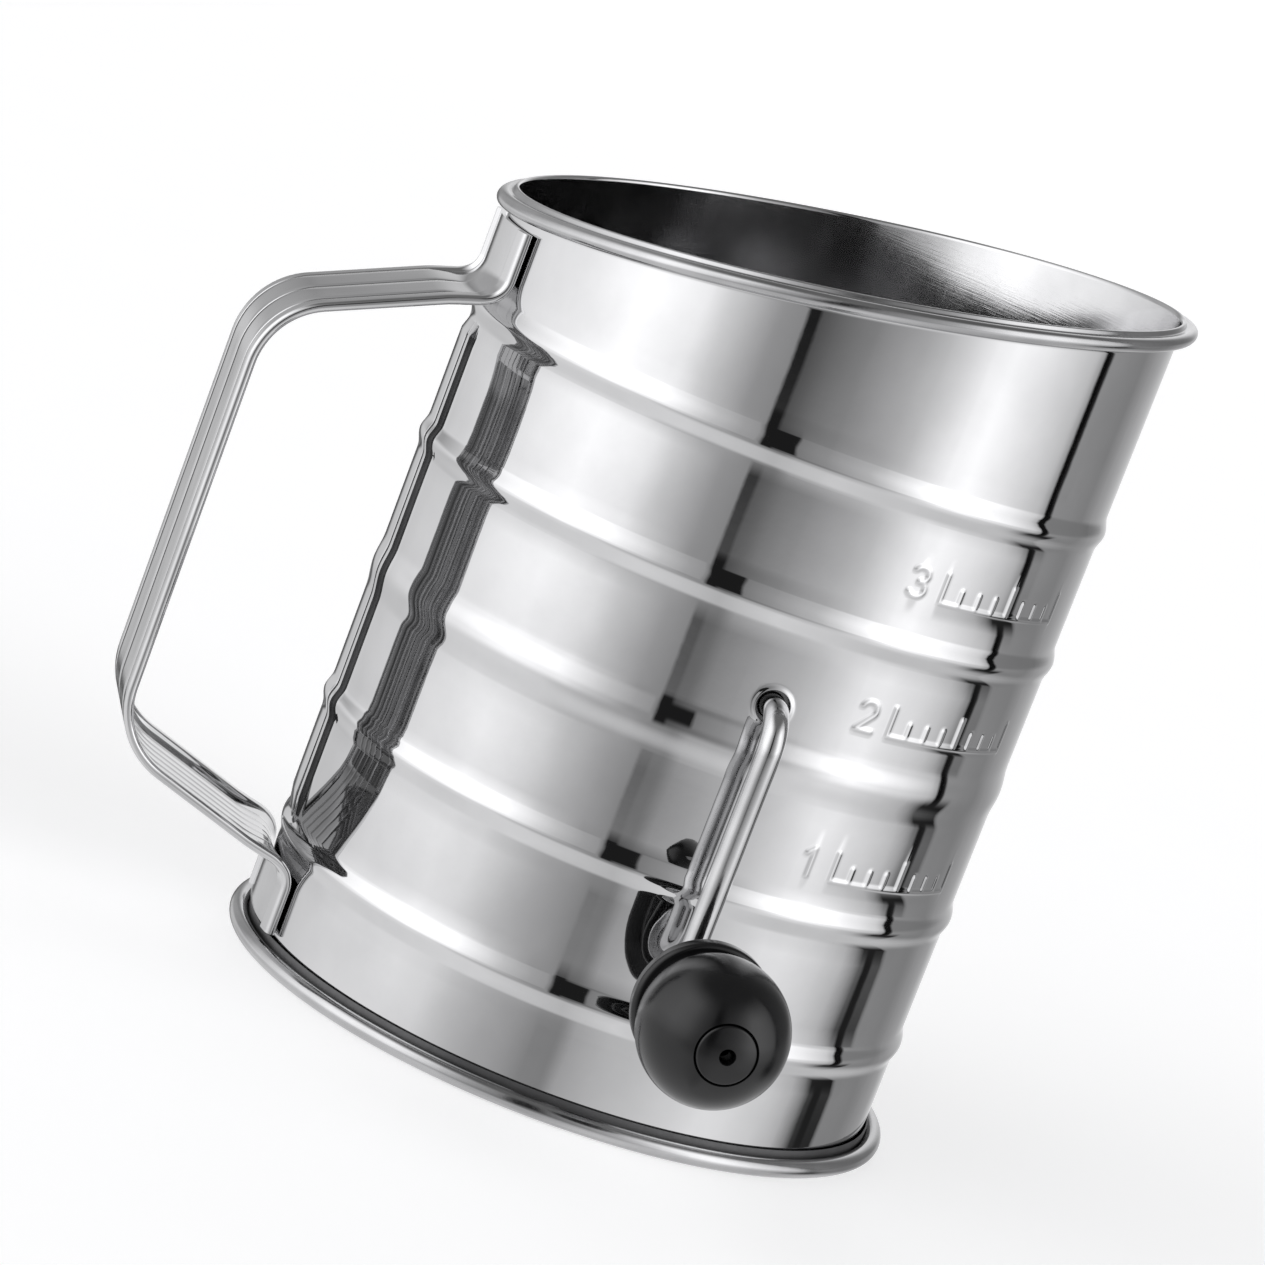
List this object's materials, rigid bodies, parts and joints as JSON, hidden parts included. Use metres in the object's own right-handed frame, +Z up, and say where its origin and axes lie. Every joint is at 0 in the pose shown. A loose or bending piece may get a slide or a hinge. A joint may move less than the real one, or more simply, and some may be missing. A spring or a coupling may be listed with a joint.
{
  "type": "flour sifter",
  "caption": "Hand-cranked flour sifter: ribbed polished steel cup with a slanted mouth, strap handle, bowl screen, wire agitator and a black ball knob on a bent rod crank.",
  "frame": {"origin": "on the table plane, under the middle of the whole sifter's bounding box at rest; the axis of the cup stands at X = +15.2 mm, Y = +19.9 mm", "axes": "+Z up along the axis of the cup, -X towards the handle, -Y towards the crank and its knob"},
  "size_m": [0.1456, 0.157, 0.1471],
  "materials": {
    "polished_steel": "mirror-polished stainless sheet",
    "wire_steel": "bright drawn steel wire and stampings",
    "woven_steel": "fine woven wire cloth",
    "black_plastic": "satin-gloss moulded black plastic"
  },
  "bodies": {
    "body": {"body_shell": "polished_steel", "base_ring": "polished_steel", "handle": "polished_steel", "screen": "woven_steel", "screen_rim": "wire_steel", "screen_retainer": "wire_steel"},
    "crank": {"crank_rod": "wire_steel", "agitator_hub_front": "wire_steel", "agitator_hub_rear": "wire_steel", "agitator_wire_1": "wire_steel", "agitator_wire_2": "wire_steel", "agitator_wire_3": "wire_steel", "agitator_wire_4": "wire_steel", "front_washer": "wire_steel", "rear_washer": "wire_steel", "rear_push_nut": "wire_steel", "knob_stop_washer": "wire_steel", "pin_retainer": "wire_steel"},
    "knob": {"knob": "black_plastic", "knob_plug": "black_plastic"}
  },
  "joints": [
    {"name": "crank_turn", "type": "hinge", "parent": "body", "child": "crank", "pos_m": [0.0152, 0.01992, 0.0727], "axis": [0, -1, 0], "continuous": true},
    {"name": "knob_spin", "type": "hinge", "parent": "crank", "child": "knob", "pos_m": [0.0152, -0.06708, 0.0304], "axis": [0, -1, 0], "continuous": true}
  ]
}
